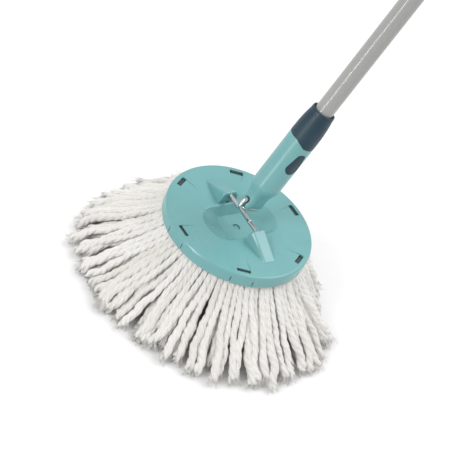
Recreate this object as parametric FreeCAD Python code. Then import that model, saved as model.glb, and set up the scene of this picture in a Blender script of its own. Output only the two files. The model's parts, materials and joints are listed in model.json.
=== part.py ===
import FreeCAD, Part
import math
import os

# Spin mop: a round mop head on a bent-wire joint, with a push-to-spin handle.
# Millimetres. The handle leans towards +X, the head lies level, and the origin
# is on the handle's axis at the middle of the hand grip.

V = FreeCAD.Vector

# ---- overall sizes -------------------------------------------------------
lean_deg = 14.0            # handle's lean from vertical, at rest
handle_length = 1150.0     # joint centre to the end of the upper tube
floor_drop = 103.5         # joint centre down to the yarn ends
running_gap = 0.05         # radial clearance of every shaft that turns or slides
part_gap = 0.3             # gap between pieces that must not touch

# ---- mop plate -----------------------------------------------------------
plate_radius = 90.0
plate_drop = 10.5          # joint centre down to the plate's top face
plate_sheet = 2.4
rim_height = 15.0
rim_wall = 2.2
rim_round = 3.0
slot_count = 6
slot_length = 17.0
slot_width = 5.4
slot_inset = 9.0           # slot centre line in from the rim
ramp_length = 20.0
ramp_depth = 0.7
slit_width = 1.1
slit_height = 8.5
slit_offset = 13.5         # slit to slot centre, along the rim
recess_depth = 11.5
recess_margin = 42.0       # trough's end to the rim
recess_half_width = 26.0
recess_corner = 22.0
recess_floor_half = (20.0, 19.0)
recess_floor_corner = 8.0
dimple_radius = 4.8
dimple_depth = 1.8         # blind hollow in the trough's floor
cheek_reach = (29.5, 66.0)     # raised cheek, from and to, out along the wire
cheek_top = 5.4                # cheek's height above the wire's axis
cheek_half_top = 7.5
cheek_half_base = 13.0
cheek_half_tail = 8.5
cheek_round = 2.2

# ---- joint wire ----------------------------------------------------------
wire_radius = 2.5
wire_end = 35.0            # wire's end, out along the axis
wire_end_gap = 0.4
wire_bend = 4.0
bore_height = 23.0         # wire's cross run above the joint centre
wire_clearance = 0.7       # between the wire's bends and the sleeve's knuckle
hook_low = 11.5            # the hook turns in towards the kink here
leg_start = 11.0           # straight leg begins, on the plain side
kink_offset = 12.0         # kink on the hooked side

# ---- sleeve, adapter and button -----------------------------------------
tube_wrap = 6.0            # sleeve's outside beyond the lower tube's
knuckle_low = 11.0         # bottom of the knuckle that the wire passes through
knuckle_half = (13.4, 8.9)  # along the wire's bore and across it
knuckle_top = 27.0         # the knuckle begins to swell towards the barrel
knuckle_round = 3.4
knuckle_steps = 10
barrel_start = 50.0
sleeve_top = 121.4
sleeve_wall = 1.8
sleeve_socket_floor = 55.0
bore_flare = 2.0
collar_straight = 3.0      # collar keeps the sleeve's width this far up
collar_shoulder = (35.6, 2.6)  # height above the sleeve and drop in radius
adapter_top = 161.5
adapter_floor = 60.0
tube_seat = 74.0           # bottom of the lower tube, inside the adapter
tube_seat_gap = 0.02       # radial, where the tube is glued in
mouth_gap = 1.2
mouth_depth = 7.0
seam_gap = 0.25
tongue_drop = 5.6
tongue_half = (6.0, 15.0)
button_turn_deg = -10.0    # button's direction, turned from -Y about the handle
button_low = (87.0, 8.4)   # centre height and radius of the opening's wide end
button_high = (102.8, 5.8)  # and of its narrow end
button_rim_gap = 0.5
button_recess = 0.7
button_skin = 1.4
button_travel = 2.0
leaf_thick = 0.5
leaf_width = 6.0

# ---- tubes and grip ------------------------------------------------------
lower_radius = 11.0
tube_step = 1.5            # upper tube's radius beyond the lower tube's
tube_wall = 0.8
lower_tube_top = 620.0
upper_tube_start = 426.0
grip_length = 170.0        # cylindrical length of the grip
grip_thick = 2.0
grip_soft = 1.4            # how far the grip's ends draw in
grip_nose = 8.0
cap_thick = 8.0
cap_lip = 0.7              # cap's flange inside the grip's outside
cap_plug = 25.0
eye_radius = 10.0
eye_rise = 20.0            # eye's centre above the cap's flange
hang_radius = 4.5
eye_half = 5.0

# ---- spin drive ----------------------------------------------------------
stroke = 200.0
stroke_spare = 40.0        # left between the drive cap and the strip's anchor
strip_pitch = 200.0        # length of one full turn of the strip
strip_width = 10.0
strip_thick = 2.0
strip_clearance = 0.2
twist_step_deg = 15.0
anchor_length = 30.0
anchor_pin_radius = 1.5
stop_thick = 4.0
spigot_depth = 30.0
flange_thick = 3.0
neck_length = 18.0
nut_wall = 1.7             # neck's wall round the nut
nut_height = 12.0
nut_teeth = 8
drive_cap_thick = 4.0
passage_radius = 5.7
bush_flange = (4.0, 1.2)   # thickness and reach beyond the upper tube
bush_length = 44.0
lock_collar_length = 50.0
lock_collar_thick = 4.0
lock_ribs = 12

# ---- refill --------------------------------------------------------------
ring_band = 29.3           # width of the refill ring
ring_thick = 3.0
tab_length = 13.0
tab_thick = 1.2
tab_head = 0.8
tab_sink = 2.0             # tab's top below the plate's face
yarn_loop_height = 4.5     # yarn looped between the ring and the clamp ring
clamp_ring_thick = 3.0
clamp_ring_width = 20.0
yarn_layer = 7.0           # thickness of one layer of yarn
skirt_spread = (78.0, 63.0, 42.0)   # foot radius beyond the plate, outer to inner
skirt_bulge = 6.0
foot_width = 10.0

# ---- values worked out from the sizes above ------------------------------
plate_top = -plate_drop
plate_under = plate_top - plate_sheet
rim_bottom = plate_top - rim_height
floor_z = -floor_drop
grip_top = handle_length
grip_middle = grip_top - grip_nose - grip_length / 2.0
lean = math.radians(lean_deg)
joint_centre = V(-grip_middle * math.sin(lean), 0, -grip_middle * math.cos(lean))
upper_radius = lower_radius + tube_step
grip_radius = upper_radius + grip_thick
lower_bore = lower_radius - tube_wall
upper_bore = upper_radius - tube_wall
stop_radius = lower_bore - 2.2
neck_radius = lower_radius - 2.8
nut_radius = neck_radius - nut_wall
neck_top = lower_tube_top + flange_thick + neck_length
anchor_low = neck_top + drive_cap_thick + stroke + stroke_spare
sleeve_radius = lower_radius + tube_wrap
sleeve_bore = sleeve_radius - sleeve_wall
button_face = sleeve_radius - button_recess
button_thick = button_face - button_travel - lower_radius - part_gap - 0.2
wire_bore = wire_radius + running_gap
recess_half = (plate_radius - recess_margin, recess_half_width)
hook_reach = knuckle_half[0] + wire_radius + wire_clearance
loop_height = knuckle_low - wire_radius - 0.5
lock_collar_radius = upper_radius + lock_collar_thick


# ---- shape helpers -------------------------------------------------------
def turned(outline):
    # Solid of revolution about Z from (radius, height) points; an entry of four
    # numbers is an arc given by its middle point and its end point.
    edges = []
    here = V(outline[0][0], 0, outline[0][1])
    for step in outline[1:]:
        if len(step) == 4:
            middle = V(step[0], 0, step[1])
            end = V(step[2], 0, step[3])
            edges.append(Part.Arc(here, middle, end).toShape())
        else:
            end = V(step[0], 0, step[1])
            edges.append(Part.LineSegment(here, end).toShape())
        here = end
    start = V(outline[0][0], 0, outline[0][1])
    if (start - here).Length > 1e-6:
        edges.append(Part.LineSegment(here, start).toShape())
    face = Part.Face(Part.Wire(edges))
    return face.revolve(V(0, 0, 0), V(0, 0, 1), 360)


def ring(inner, outer, low, high):
    body = Part.makeCylinder(outer, high - low, V(0, 0, low))
    if inner <= 0:
        return body
    return body.cut(Part.makeCylinder(inner, high - low + 2, V(0, 0, low - 1)))


def box(x_half, y_half, low, high, centre=(0, 0)):
    corner = V(centre[0] - x_half, centre[1] - y_half, low)
    return Part.makeBox(2 * x_half, 2 * y_half, high - low, corner)


def rounded_rectangle(half_x, half_y, corner, height):
    # Closed wire in a level plane, straight sides joined by quarter arcs.
    cx, cy = half_x - corner, half_y - corner
    diagonal = corner * math.sqrt(0.5)
    edges = []
    start = V(half_x, -cy, height)
    for sx, sy in ((1, 1), (-1, 1), (-1, -1), (1, -1)):
        middle = V(sx * (cx + diagonal), sy * (cy + diagonal), height)
        on_x = V(sx * half_x, sy * cy, height)
        on_y = V(sx * cx, sy * half_y, height)
        first, last = (on_x, on_y) if sx == sy else (on_y, on_x)
        edges.append(Part.LineSegment(start, first).toShape())
        edges.append(Part.Arc(first, middle, last).toShape())
        start = last
    return Part.Wire(edges)


def bent_path(points, radius):
    # Straight runs joined by tangent arcs of one radius.
    edges = []
    here = points[0]
    for before, corner, after in zip(points, points[1:], points[2:]):
        back = (before - corner).normalize()
        ahead = (after - corner).normalize()
        half_turn = (math.pi - back.getAngle(ahead)) / 2.0
        reach = radius * math.tan(half_turn)
        start = corner + back * reach
        end = corner + ahead * reach
        towards = (back + ahead).normalize()
        middle = corner + towards * (radius / math.cos(half_turn) - radius)
        edges.append(Part.LineSegment(here, start).toShape())
        edges.append(Part.Arc(start, middle, end).toShape())
        here = end
    edges.append(Part.LineSegment(here, points[-1]).toShape())
    return Part.Wire(edges)


def round_bar(path, radius):
    first = path.Edges[0]
    start = first.valueAt(first.FirstParameter)
    heading = first.tangentAt(first.FirstParameter)
    section = Part.Wire(Part.makeCircle(radius, start, heading))
    return path.makePipeShell([section], True, False)


def bulged(start, end, bulge):
    # Middle point of an arc from start to end that stands out by bulge.
    run = math.hypot(end[0] - start[0], end[1] - start[1])
    middle_r = (start[0] + end[0]) / 2.0 - bulge * (end[1] - start[1]) / run
    middle_z = (start[1] + end[1]) / 2.0 + bulge * (end[0] - start[0]) / run
    return (middle_r, middle_z, end[0], end[1])


def eased_end(radius, soft, end, rise):
    # Arc from radius - soft at height end, tangent to the cylinder at end + rise.
    sweep_radius = (soft * soft + rise * rise) / (2.0 * soft)
    half = math.asin(abs(rise) / sweep_radius) / 2.0
    middle_r = radius - sweep_radius * (1.0 - math.cos(half))
    middle_z = end + rise - math.copysign(sweep_radius * math.sin(half), rise)
    return middle_r, middle_z


def teardrop(low, high, gap, near, far):
    # Prism with a wide round end and a narrow one, standing out along -Y.
    low_r, high_r = low[1] - gap, high[1] - gap
    tilt = math.asin((low_r - high_r) / (high[0] - low[0]))
    side, rise = math.cos(tilt), math.sin(tilt)

    def at(x, z):
        return V(x, -near, z)

    low_right = at(low_r * side, low[0] + low_r * rise)
    low_left = at(-low_r * side, low[0] + low_r * rise)
    high_right = at(high_r * side, high[0] + high_r * rise)
    high_left = at(-high_r * side, high[0] + high_r * rise)
    wire = Part.Wire([
        Part.Arc(low_left, at(0, low[0] - low_r), low_right).toShape(),
        Part.LineSegment(low_right, high_right).toShape(),
        Part.Arc(high_right, at(0, high[0] + high_r), high_left).toShape(),
        Part.LineSegment(high_left, low_left).toShape()])
    return Part.Face(wire).extrude(V(0, -(far - near), 0))


def turn_to_button(shape):
    shape = shape.copy()
    shape.rotate(V(0, 0, 0), V(0, 0, 1), button_turn_deg)
    return shape


def on_handle(shape):
    # From the handle's own axes to the leaning handle.
    shape = shape.copy()
    shape.rotate(V(0, 0, 0), V(0, 1, 0), lean_deg)
    shape.translate(joint_centre)
    return shape


def on_head(shape):
    shape = shape.copy()
    shape.translate(joint_centre)
    return shape


def around(shape, count, start_deg=0.0):
    # Copies of a shape spaced evenly about Z.
    copies = []
    for index in range(count):
        copy = shape.copy()
        copy.rotate(V(0, 0, 0), V(0, 0, 1), start_deg + index * 360.0 / count)
        copies.append(copy)
    return copies


def twisted_strip(width, thick, low, high):
    # Flat strip twisted about Z; its width lies along X at the anchor.
    turns = (high - low) / strip_pitch
    steps = int(math.ceil(turns * 360.0 / twist_step_deg))
    sections = []
    for index in range(steps + 1):
        z = low + (high - low) * index / steps
        angle = 2.0 * math.pi * (z - anchor_low) / strip_pitch
        c, s = math.cos(angle), math.sin(angle)
        corners = []
        for x, y in ((1, 1), (-1, 1), (-1, -1), (1, -1)):
            px, py = x * width / 2.0, y * thick / 2.0
            corners.append(V(px * c - py * s, px * s + py * c, z))
        sections.append(Part.makePolygon(corners + corners[:1]))
    return Part.makeLoft(sections, True, True)


# ---- mop plate -----------------------------------------------------------
def cheek(side):
    # Raised wedge that holds one end of the wire; side is +1 or -1 along Y.
    near, far = cheek_reach
    shoulder = cheek_top - 3.0
    sink = plate_top - 0.6
    near_outline = ((-cheek_half_base, sink), (-cheek_half_top - 2.5, shoulder),
                    (-cheek_half_top, cheek_top), (cheek_half_top, cheek_top),
                    (cheek_half_top + 2.5, shoulder), (cheek_half_base, sink))
    low = plate_top + 0.4
    far_outline = ((-cheek_half_tail, sink), (-cheek_half_tail + 1.0, low - 0.3),
                   (-cheek_half_tail + 2.0, low), (cheek_half_tail - 2.0, low),
                   (cheek_half_tail - 1.0, low - 0.3), (cheek_half_tail, sink))
    wires = []
    for y, outline in ((near, near_outline), (far, far_outline)):
        points = [V(x, side * y, z) for x, z in outline]
        wires.append(Part.makePolygon(points + points[:1]))
    body = Part.makeLoft(wires, True, True)
    edges = [edge for edge in body.Edges
             if min(v.Point.z for v in edge.Vertexes) > low - 0.2
             and max(v.Point.z for v in edge.Vertexes) > cheek_top - 0.5]
    return body.makeFillet(cheek_round, edges)


def slot_at(centre_radius, length, width, low, high):
    # Round-cornered slot that runs along the rim, on the +X side.
    corner = min(1.6, width / 2.0 - 0.1)
    wire = rounded_rectangle(width / 2.0, length / 2.0, corner, low)
    cutter = Part.Face(wire).extrude(V(0, 0, high - low))
    cutter.translate(V(centre_radius, 0, 0))
    return cutter


def ramp():
    # Shallow ramp in the plate's face, down to a slot's inner edge.
    edge = plate_radius - slot_inset - slot_width / 2.0 + 0.2
    start = edge - ramp_length
    side = Part.makePolygon([V(start, 0, plate_top), V(edge, 0, plate_top),
                             V(edge, 0, plate_top - ramp_depth), V(start, 0, plate_top)])
    wedge = Part.Face(side).extrude(V(0, slot_length, 0))
    wedge.translate(V(0, -slot_length / 2.0, 0))
    wide, narrow = slot_length / 2.0, slot_length / 6.0
    plan = Part.makePolygon([V(start, -narrow, plate_top - 2), V(edge, -wide, plate_top - 2),
                             V(edge, wide, plate_top - 2), V(start, narrow, plate_top - 2),
                             V(start, -narrow, plate_top - 2)])
    return wedge.common(Part.Face(plan).extrude(V(0, 0, 4)))


def recess(grow):
    # Trough under the wire; grow makes the outside of its wall.
    top = rounded_rectangle(recess_half[0] + grow, recess_half[1] + grow,
                            recess_corner + grow, plate_top)
    floor = rounded_rectangle(recess_floor_half[0] + grow, recess_floor_half[1] + grow,
                              recess_floor_corner + grow, plate_top - recess_depth - grow)
    return Part.makeLoft([top, floor], True, True)


def make_top_plate():
    r = plate_radius
    bend = rim_round * (1 - math.sqrt(0.5))
    outside = turned([(0, plate_top), (r - rim_round, plate_top),
                      (r - bend, plate_top - bend, r, plate_top - rim_round),
                      (r, rim_bottom), (0, rim_bottom)])
    inner = r - rim_wall
    inside = turned([(0, plate_under), (inner - 1.5, plate_under),
                     (inner - 0.44, plate_under - 0.44, inner, plate_under - 1.5),
                     (inner, rim_bottom - 1), (0, rim_bottom - 1)])
    plate = outside.cut(inside).fuse(recess(rim_wall))
    hollow = recess(0.0)
    lid = Part.Face(rounded_rectangle(recess_half[0], recess_half[1], recess_corner, plate_top))
    plate = plate.cut([hollow, lid.extrude(V(0, 0, 1))])
    mouth = [edge for edge in plate.Edges
             if all(abs(v.Point.z - plate_top) < 0.01 for v in edge.Vertexes)
             and max(math.hypot(v.Point.x, v.Point.y) for v in edge.Vertexes) < r * 0.7]
    plate = plate.makeFillet(1.4, mouth)
    plate = plate.fuse([cheek(1), cheek(-1)])
    trough_floor = plate_top - recess_depth
    cuts = [Part.makeCylinder(dimple_radius, 4, V(0, 0, trough_floor - dimple_depth))]
    slot_centre = r - slot_inset
    cuts += around(slot_at(slot_centre, slot_length, slot_width, plate_under - 1, plate_top + 1),
                   slot_count)
    cuts += around(ramp(), slot_count)
    slit = box(rim_wall * 2, slit_width / 2.0, rim_bottom - 1, rim_bottom + slit_height, (r, 0))
    turn = math.degrees(slit_offset / r)
    cuts += around(slit, slot_count, turn) + around(slit, slot_count, -turn)
    for side in (1, -1):
        near = cheek_reach[0] - 1
        length = wire_end + wire_end_gap - near
        start = V(0, side * near, 0)
        cuts.append(Part.makeCylinder(wire_bore, length, start, V(0, side, 0)))
        middle = side * (near + length / 2.0)
        cuts.append(box(wire_bore, length / 2.0, plate_under - 9, 0, (0, middle)))
    return plate.cut(cuts).removeSplitter()


def make_wire_keepers():
    # Bars that close the slots under the wire's ends.
    bars = []
    for side in (1, -1):
        near, far = cheek_reach[0] + 0.4, wire_end + wire_end_gap
        bar = box(wire_bore, (far - near) / 2.0, plate_under, -wire_bore - part_gap,
                  (0, side * (near + far) / 2.0))
        bars.append(bar)
    return Part.makeCompound(bars)


# ---- joint wire ----------------------------------------------------------
def make_joint_wire():
    # Drawn in the handle's own axes: X is the way the handle leans.
    points = [V(0, wire_end, 0), V(0, leg_start, 0), V(hook_reach * 0.45, 0, loop_height),
              V(hook_reach, 0, loop_height), V(hook_reach, 0, bore_height),
              V(-hook_reach, 0, bore_height), V(-hook_reach, 0, hook_low),
              V(0, -kink_offset, 0), V(0, -wire_end, 0)]
    return round_bar(bent_path(points, wire_bend), wire_radius)


# ---- sleeve, adapter and button -----------------------------------------
def tongue_region(gap):
    # Everything above the seam between sleeve and adapter, tongue included.
    near, far = tongue_half
    low = sleeve_top - tongue_drop + gap
    high = sleeve_top + gap
    outline = Part.makePolygon([V(-near + gap, 0, low), V(near - gap, 0, low),
                                V(far - gap, 0, high), V(far - gap, 0, high + 60),
                                V(-far + gap, 0, high + 60), V(-far + gap, 0, high),
                                V(-near + gap, 0, low)])
    tongue = Part.Face(outline).extrude(V(0, -40, 0))
    corners = [edge for edge in tongue.Edges
               if all(abs(v.Point.z - low) < 0.01 for v in edge.Vertexes) and edge.Length > 39]
    tongue = tongue.makeFillet(3.0, corners)
    above = box(40, 40, high, high + 60)
    return turn_to_button(above.fuse(tongue))


def knuckle_section(height, swell):
    # Rounded rectangle that grows into the barrel's circle as swell goes from 0 to 1.
    x_half = knuckle_half[0] + (sleeve_radius - knuckle_half[0]) * swell
    y_half = knuckle_half[1] + (sleeve_radius - knuckle_half[1]) * swell
    return rounded_rectangle(x_half, y_half, y_half * (0.67 + 0.31 * swell), height)


def make_nose():
    # Knuckle round the wire's bore, swelling upwards into the round barrel.
    x_half, y_half = knuckle_half
    full = sleeve_radius
    sections = [knuckle_section(knuckle_low - 3, 0)]
    for step in range(knuckle_steps + 1):
        share = step / knuckle_steps
        eased = share ** 1.25
        swell = eased * eased * (3 - 2 * eased)
        height = knuckle_top + (barrel_start - knuckle_top) * share
        sections.append(knuckle_section(height, swell))
    sections.append(knuckle_section(sleeve_socket_floor, 1))
    nose = Part.makeLoft(sections, True, True)
    nose = nose.common(Part.makeCylinder(full, 80))
    drop = bore_height - knuckle_low
    heel = Part.Ellipse(V(0, 0, 0), drop, y_half)
    around_bore = Part.Face(Part.Wire(heel.toShape())).extrude(V(0, 0, 2 * x_half))
    around_bore.rotate(V(0, 0, 0), V(0, 1, 0), 90)
    around_bore.translate(V(-x_half, 0, bore_height))
    rims = [edge for edge in around_bore.Edges if len(edge.Vertexes) == 1]
    around_bore = around_bore.makeFillet(knuckle_round, rims)
    above = box(40, 40, bore_height, barrel_start + 20)
    return nose.common(around_bore.fuse(above))


def make_handle_sleeve():
    barrel = Part.makeCylinder(sleeve_radius, sleeve_top - sleeve_socket_floor,
                               V(0, 0, sleeve_socket_floor))
    body = barrel.fuse(make_nose())
    socket = Part.makeCylinder(sleeve_bore, 100, V(0, 0, sleeve_socket_floor))
    mouth_x = knuckle_half[0]
    bore = Part.makeCylinder(wire_bore, mouth_x * 4, V(-mouth_x * 2, 0, bore_height), V(1, 0, 0))
    body = body.cut([socket, bore])
    for side in (1, -1):
        flare = Part.makeCone(wire_bore, wire_bore + 2 * bore_flare, 2 * bore_flare,
                              V(side * (mouth_x - bore_flare), 0, bore_height), V(side, 0, 0))
        body = body.cut(flare)
    window = turn_to_button(teardrop(button_low, button_high, 0.0, 4.0, 30.0))
    return body.cut([window, tongue_region(0.0)]).removeSplitter()


def make_tube_adapter():
    # Collar outside the sleeve and spigot inside it, around the lower tube.
    spigot = sleeve_bore - 0.1
    low = sleeve_top - tongue_drop - 2.0
    start = sleeve_top + collar_straight
    shoulder_z = sleeve_top + collar_shoulder[0]
    shoulder = sleeve_radius - collar_shoulder[1]
    eased = eased_end(sleeve_radius, collar_shoulder[1], shoulder_z, start - shoulder_z)
    crown = lower_radius + mouth_gap + 0.8
    collar = turned([(spigot - 1, low), (sleeve_radius, low), (sleeve_radius, start),
                     (eased[0], eased[1], shoulder, shoulder_z),
                     (shoulder - 0.25, (shoulder_z + adapter_top) / 2.0 + 0.6, crown, adapter_top),
                     (spigot - 4, adapter_top)])
    collar = collar.fuse(ring(0, spigot - 1, low, adapter_top - 0.4))
    collar = collar.common(tongue_region(seam_gap))
    core = ring(0, spigot, adapter_floor, sleeve_top + 2.0)
    body = collar.fuse(core)
    bore = Part.makeCylinder(lower_radius + tube_seat_gap, 200, V(0, 0, tube_seat))
    mouth = Part.makeCylinder(lower_radius + mouth_gap, 20, V(0, 0, adapter_top - mouth_depth))
    floor = lower_radius + part_gap
    pocket = turn_to_button(teardrop(button_low, button_high, -0.1, 2.0, 40.0))
    pocket = pocket.common(ring(floor, 30, adapter_floor, sleeve_top - tongue_drop - 0.5))
    return body.cut([bore, mouth, pocket]).removeSplitter()


def make_click_button():
    face = button_face
    blank = teardrop(button_low, button_high, button_rim_gap, 2.0, 30.0)
    near = face - button_thick
    skin = ring(near, face, button_low[0] - 20, button_high[0] + 20)
    button = blank.common(skin)
    middle = (button_low[0] + button_high[0]) / 2.0
    hollow = box(leaf_width / 2.0 + 0.5, 20, middle - 13.0, middle + 9.0, (0, -20))
    hollow = hollow.common(ring(0, face - button_skin, middle - 30, middle + 30))
    return turn_to_button(button.cut(hollow))


def make_button_spring():
    # Bent leaf in the adapter's pocket, drawn as the pressed button leaves it.
    floor = lower_radius + part_gap
    middle = (button_low[0] + button_high[0]) / 2.0
    crown = button_face - button_skin - button_travel - leaf_thick
    low = middle - 11.5
    outline = ((floor, low), (floor, middle + 8.0), (floor + leaf_thick, middle + 8.0),
               (floor + leaf_thick, low + 2.0), (crown - leaf_thick, middle),
               (crown - leaf_thick, middle + 4.0), (crown, middle + 4.0),
               (crown, middle - 0.6), (floor + leaf_thick, low))
    points = [V(-leaf_width / 2.0, -out, z) for out, z in outline]
    leaf = Part.Face(Part.makePolygon(points + points[:1])).extrude(V(leaf_width, 0, 0))
    return turn_to_button(leaf)


# ---- tubes and grip ------------------------------------------------------
def make_lower_tube():
    return ring(lower_bore, lower_radius, tube_seat, lower_tube_top)


def make_upper_tube():
    tube = ring(upper_bore, upper_radius, upper_tube_start, handle_length)
    return tube.cut(anchor_pin_shape(60))


def make_handle_grip():
    low = grip_top - 2 * grip_nose - grip_length
    lower_arc = eased_end(grip_radius, grip_soft, low, grip_nose)
    upper_arc = eased_end(grip_radius, grip_soft, grip_top, -grip_nose)
    return turned([(upper_radius, low), (grip_radius - grip_soft, low),
                   (lower_arc[0], lower_arc[1], grip_radius, low + grip_nose),
                   (grip_radius, grip_top - grip_nose),
                   (upper_arc[0], upper_arc[1], grip_radius - grip_soft, grip_top),
                   (upper_radius, grip_top)])


def make_end_cap():
    thick = cap_thick
    radius = grip_radius - cap_lip
    base = handle_length
    body = turned([(0, base - cap_plug), (upper_bore, base - cap_plug), (upper_bore, base),
                   (radius, base), (radius, base + thick * 0.4),
                   (radius - 1.2, base + thick * 0.8, radius - 4.0, base + thick),
                   (0, base + thick)])
    centre = base + thick + eye_rise - eye_radius
    eye = box(eye_radius, eye_half, base + thick - 3, centre)
    round_top = Part.makeCylinder(eye_radius, 2 * eye_half, V(0, -eye_half, centre), V(0, 1, 0))
    hole = Part.makeCylinder(hang_radius, 60, V(0, -30, centre), V(0, 1, 0))
    return body.fuse([eye, round_top]).cut(hole).removeSplitter()


# ---- spin drive ----------------------------------------------------------
def anchor_pin_shape(length):
    centre = anchor_low + anchor_length / 2.0
    return Part.makeCylinder(anchor_pin_radius, length, V(0, -length / 2.0, centre), V(0, 1, 0))


def strip_tab(grow):
    return box(strip_width / 2.0 + grow, strip_thick / 2.0 + grow, anchor_low,
               anchor_low + anchor_length - 3.0)


def make_drive_strip():
    low = housing_floor() - part_gap
    strip = twisted_strip(strip_width, strip_thick, low, anchor_low)
    return strip.fuse(strip_tab(0)).cut(anchor_pin_shape(40))


def make_strip_anchor():
    plug = ring(0, upper_bore, anchor_low, anchor_low + anchor_length)
    return plug.cut([strip_tab(0), anchor_pin_shape(60)])


def make_anchor_pin():
    return anchor_pin_shape(2 * upper_radius)


def housing_floor():
    # Underside of the floor that the drive nut sits on.
    return lower_tube_top + flange_thick - 0.5


def nut_seat():
    return housing_floor() + 3.5


def make_strip_stop():
    high = housing_floor() - part_gap
    return ring(0, stop_radius, high - stop_thick, high)


def tooth_ring(low, high, gap):
    # Radial ratchet teeth, alternate sectors of a ring.
    half = math.pi * (nut_radius - 0.5) / nut_teeth / 2.0 - gap
    return around(box(0.8, half, low, high, (nut_radius - 0.9, 0)), nut_teeth)


def make_drive_housing():
    base = lower_tube_top
    cavity = nut_radius + running_gap
    body = turned([(stop_radius + 0.4, base - spigot_depth), (lower_bore, base - spigot_depth),
                   (lower_bore, base), (lower_radius, base), (lower_radius, base + flange_thick),
                   (neck_radius, base + flange_thick), (neck_radius, neck_top),
                   (cavity, neck_top), (cavity, nut_seat()), (passage_radius, nut_seat()),
                   (passage_radius, housing_floor()), (stop_radius + 0.4, housing_floor())])
    return body


def make_drive_nut():
    low = nut_seat()
    high = low + nut_height
    body = ring(0, nut_radius, low + 1.2, high)
    body = body.fuse(tooth_ring(low, low + 1.2, 0.3))
    body = body.common(ring(0, nut_radius, low, high))
    slot = twisted_strip(strip_width + 2 * strip_clearance, strip_thick + 2 * strip_clearance,
                         low - 2, high + 2)
    return body.cut(slot)


def make_drive_cap():
    return ring(passage_radius, lower_radius - 1.0, neck_top, neck_top + drive_cap_thick)


def make_carriage_ring():
    low = lower_tube_top + flange_thick + 0.1
    high = neck_top - 0.1
    return ring(neck_radius + running_gap, upper_bore - running_gap, low, high)


def make_guide_bush():
    thick, reach = bush_flange
    radius = upper_radius + reach
    low = upper_tube_start - thick
    bore = lower_radius + running_gap
    return turned([(bore, low), (radius - 1, low), (radius, low + 1), (radius, upper_tube_start),
                   (upper_bore, upper_tube_start), (upper_bore, low + bush_length),
                   (bore, low + bush_length)])


def make_lock_collar():
    low = upper_tube_start + part_gap
    high = low + lock_collar_length
    bore = upper_radius + running_gap
    body = turned([(bore, low), (lock_collar_radius - 1.5, low), (lock_collar_radius, low + 2),
                   (lock_collar_radius, high - 9), (bore + 1.6, high), (bore, high)])
    groove = Part.makeCylinder(1.3, lock_collar_length - 18, V(lock_collar_radius + 0.5, 0, low + 5))
    return body.cut(around(groove, lock_ribs))


# ---- refill --------------------------------------------------------------
def ring_top():
    return plate_under - 0.4


def ring_outer():
    return plate_radius - rim_wall - 0.5


def make_refill_ring():
    body = ring(ring_outer() - ring_band, ring_outer(), ring_top() - ring_thick, ring_top())
    slot_centre = plate_radius - slot_inset
    tab = box(tab_thick / 2.0, tab_length / 2.0, ring_top() - 0.5, plate_top - tab_sink,
              (slot_centre + 0.6, 0))
    head = box((tab_thick + tab_head) / 2.0, tab_length / 2.0, plate_top - tab_sink - 1.2,
               plate_top - tab_sink, (slot_centre + 0.6 - tab_head / 2.0, 0))
    return body.fuse(around(tab.fuse(head), slot_count)).removeSplitter()


def clamp_low():
    return ring_top() - ring_thick - yarn_loop_height - clamp_ring_thick


def clamp_outer():
    return ring_outer() - yarn_layer - 0.5


def make_clamp_ring():
    # Ring under the yarn loops, on six posts that stand on the refill ring.
    outer = clamp_outer()
    inner = outer - clamp_ring_width
    low = clamp_low()
    body = ring(inner, outer, low, low + clamp_ring_thick)
    post = Part.makeCylinder(2.0, yarn_loop_height, V(inner + 4, 0, low + clamp_ring_thick))
    return body.fuse(around(post, slot_count, 180.0 / slot_count)).removeSplitter()


def skirt(neck_outer, neck_top_z, knee_z, spread):
    # One layer of yarn, from the clamp ring out and down to the floor.
    neck_inner = neck_outer - yarn_layer
    foot_outer = plate_radius + spread
    foot_inner = foot_outer - foot_width
    upper_knee = (neck_outer, knee_z)
    lower_knee = (neck_inner, knee_z - yarn_layer)
    foot_lip = (foot_outer, floor_z + 1.0)
    foot_heel = (foot_inner, floor_z)
    return turned([(neck_inner, neck_top_z), (neck_outer, neck_top_z), upper_knee,
                   bulged(upper_knee, foot_lip, skirt_bulge), (foot_outer - 1.0, floor_z),
                   foot_heel, bulged(foot_heel, lower_knee, -skirt_bulge)])


def make_strands():
    # Three nested layers; each neck is inside the one before.
    names = ("strands_outer", "strands_middle", "strands_inner")
    layers = {}
    neck = ring_outer()
    top = ring_top() - ring_thick
    knee = rim_bottom - 0.6
    for name, spread in zip(names, skirt_spread):
        layers[name] = skirt(neck, top, knee, spread)
        neck -= yarn_layer + 0.6
        top = clamp_low()
        knee -= yarn_layer + 3.5
    return layers


# ---- all nodes -----------------------------------------------------------
handle_nodes = {
    "upper_tube": make_upper_tube(),
    "handle_grip": make_handle_grip(),
    "end_cap": make_end_cap(),
    "strip_anchor": make_strip_anchor(),
    "anchor_pin": make_anchor_pin(),
    "drive_strip": make_drive_strip(),
    "strip_stop": make_strip_stop(),
    "guide_bush": make_guide_bush(),
    "lock_collar": make_lock_collar(),
    "carriage_ring": make_carriage_ring(),
    "lower_tube": make_lower_tube(),
    "drive_housing": make_drive_housing(),
    "drive_nut": make_drive_nut(),
    "drive_cap": make_drive_cap(),
    "tube_adapter": make_tube_adapter(),
    "handle_sleeve": make_handle_sleeve(),
    "click_button": make_click_button(),
    "button_spring": make_button_spring(),
    "joint_wire": make_joint_wire(),
}

head_nodes = {
    "top_plate": make_top_plate(),
    "wire_keepers": make_wire_keepers(),
    "refill_ring": make_refill_ring(),
    "clamp_ring": make_clamp_ring(),
}
head_nodes.update(make_strands())

os.makedirs("parts", exist_ok=True)
for name, shape in handle_nodes.items():
    on_handle(shape).exportStep("parts/" + name + ".step")
for name, shape in head_nodes.items():
    on_head(shape).exportStep("parts/" + name + ".step")
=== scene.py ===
import json
import math
import bpy
import numpy as np
from mathutils import Matrix, Vector


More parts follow.
